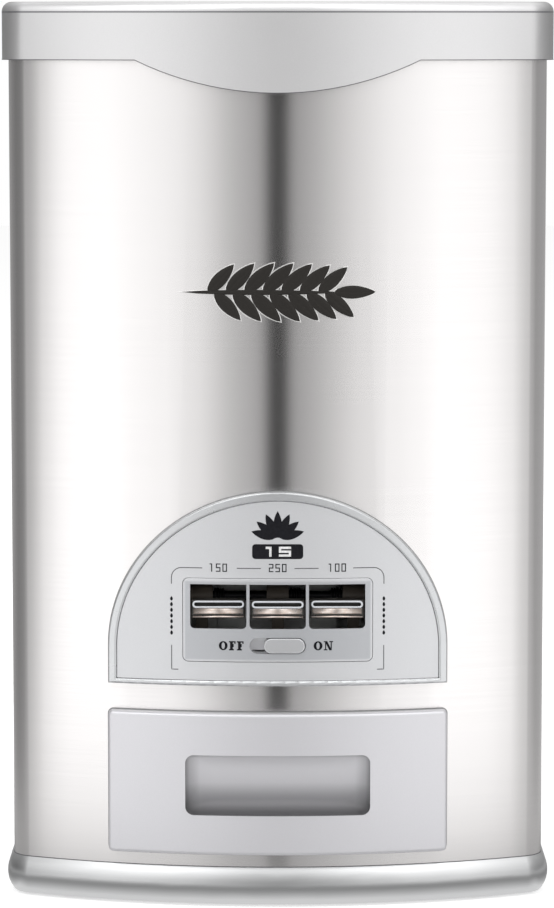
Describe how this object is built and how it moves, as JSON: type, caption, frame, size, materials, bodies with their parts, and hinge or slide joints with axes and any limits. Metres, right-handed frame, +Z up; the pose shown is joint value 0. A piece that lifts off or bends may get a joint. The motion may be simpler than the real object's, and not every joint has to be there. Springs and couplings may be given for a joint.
{
  "type": "rice dispenser with drawer",
  "caption": "Upright bow-front steel bin with hinged lid, push levers that meter portions of grain, and a pull-out drawer at the foot.",
  "frame": {"origin": "on the floor, at the middle of the overall box", "axes": "+Z up, -Y out of the bowed front, +X to the right of someone facing it"},
  "size_m": [0.2748, 0.3694, 0.45],
  "materials": {
    "base_silver": "metallised silver, polished satin",
    "button_chrome": "polished",
    "cabinet_steel": "fine horizontal brushing, satin",
    "drawer_silver": "silver plastic, semi-gloss",
    "emblem_black": "black, gloss",
    "fastener_steel": "zinc-plated",
    "foot_rubber": "matte",
    "hopper_white": "translucent white, satin",
    "lid_silver": "silver plastic, semi-gloss",
    "panel_silver": "silver plastic, semi-gloss",
    "rim_chrome": "metallised bezel rim, satin",
    "seal_rubber": "soft grey silicone",
    "spring_steel": "bright wire",
    "works_black": "black moulded plastic",
    "works_white": "white moulded plastic",
    "zinc_steel": "zinc-plated sheet"
  },
  "bodies": {
    "cabinet": {"body_wrap": "cabinet_steel", "back_panel": "cabinet_steel", "back_panel_screws": "fastener_steel", "base_tray": "base_silver", "rubber_feet": "foot_rubber", "inner_frame": "zinc_steel", "frame_screws": "fastener_steel", "drawer_rail_left": "zinc_steel", "drawer_rail_right": "zinc_steel", "top_collar": "hopper_white", "hinge_housing": "lid_silver", "hinge_housing_screws": "fastener_steel", "hinge_pins": "fastener_steel", "hopper": "hopper_white", "hopper_screws": "fastener_steel", "metering_roof": "works_white", "metering_box": "works_white", "metering_base": "works_white", "metering_bolts": "fastener_steel", "chute": "works_white", "control_bezel": "rim_chrome", "control_face": "panel_silver", "button_surround": "panel_silver", "lever_housing": "works_black", "panel_screws": "fastener_steel", "pivot_shaft": "fastener_steel", "return_spring_left": "spring_steel", "return_spring_centre": "spring_steel", "return_spring_right": "spring_steel", "lock_detent_spring": "spring_steel", "front_emblem": "emblem_black"},
    "lid": {"lid_shell": "lid_silver", "lid_liner": "hopper_white", "lid_gasket": "seal_rubber", "lid_hinge_arms": "works_white", "lid_screws": "fastener_steel"},
    "drawer": {"drawer_front": "drawer_silver", "drawer_tray": "hopper_white", "drawer_screws": "fastener_steel"},
    "lock": {"lock_knob": "panel_silver", "lock_bar": "works_black"},
    "lever_left": {"lever_cap_left": "button_chrome", "lever_arm_left": "works_black"},
    "shutter_left": {"shutter_left": "works_white"},
    "lever_centre": {"lever_cap_centre": "button_chrome", "lever_arm_centre": "works_black"},
    "shutter_centre": {"shutter_centre": "works_white"},
    "lever_right": {"lever_cap_right": "button_chrome", "lever_arm_right": "works_black"},
    "shutter_right": {"shutter_right": "works_white"}
  },
  "joints": [
    {"name": "lid_hinge", "type": "hinge", "parent": "cabinet", "child": "lid", "pos_m": [0, 0.1477, 0.44], "axis": [-1, 0, 0], "range_deg": [0, 96]},
    {"name": "drawer_slide", "type": "slide", "parent": "cabinet", "child": "drawer", "axis": [0, -1, 0], "range_m": [0, 0.18]},
    {"name": "lock_slide", "type": "slide", "parent": "cabinet", "child": "lock", "axis": [-1, 0, 0], "range_m": [0, 0.0067]},
    {"name": "lever_left_press", "type": "hinge", "parent": "cabinet", "child": "lever_left", "pos_m": [0, -0.1557, 0.154], "axis": [1, 0, 0], "range_deg": [0, 18], "stiffness_Nm_per_rad": 0.2, "springref_deg": -14.32, "deforming": ["return_spring_left"]},
    {"name": "shutter_left_slide", "type": "slide", "parent": "cabinet", "child": "shutter_left", "axis": [0, 1, 0], "range_m": [0, 0.01174]},
    {"name": "lever_centre_press", "type": "hinge", "parent": "cabinet", "child": "lever_centre", "pos_m": [0, -0.1557, 0.154], "axis": [1, 0, 0], "range_deg": [0, 18], "stiffness_Nm_per_rad": 0.2, "springref_deg": -14.32, "deforming": ["return_spring_centre"]},
    {"name": "shutter_centre_slide", "type": "slide", "parent": "cabinet", "child": "shutter_centre", "axis": [0, 1, 0], "range_m": [0, 0.01174]},
    {"name": "lever_right_press", "type": "hinge", "parent": "cabinet", "child": "lever_right", "pos_m": [0, -0.1557, 0.154], "axis": [1, 0, 0], "range_deg": [0, 18], "stiffness_Nm_per_rad": 0.2, "springref_deg": -14.32, "deforming": ["return_spring_right"]},
    {"name": "shutter_right_slide", "type": "slide", "parent": "cabinet", "child": "shutter_right", "axis": [0, 1, 0], "range_m": [0, 0.01174]}
  ],
  "couplings": [
    {"joint": "lever_left_press", "follows": "shutter_left_slide", "rad_per_m": 26.754},
    {"joint": "lever_centre_press", "follows": "shutter_centre_slide", "rad_per_m": 26.754},
    {"joint": "lever_right_press", "follows": "shutter_right_slide", "rad_per_m": 26.754}
  ]
}
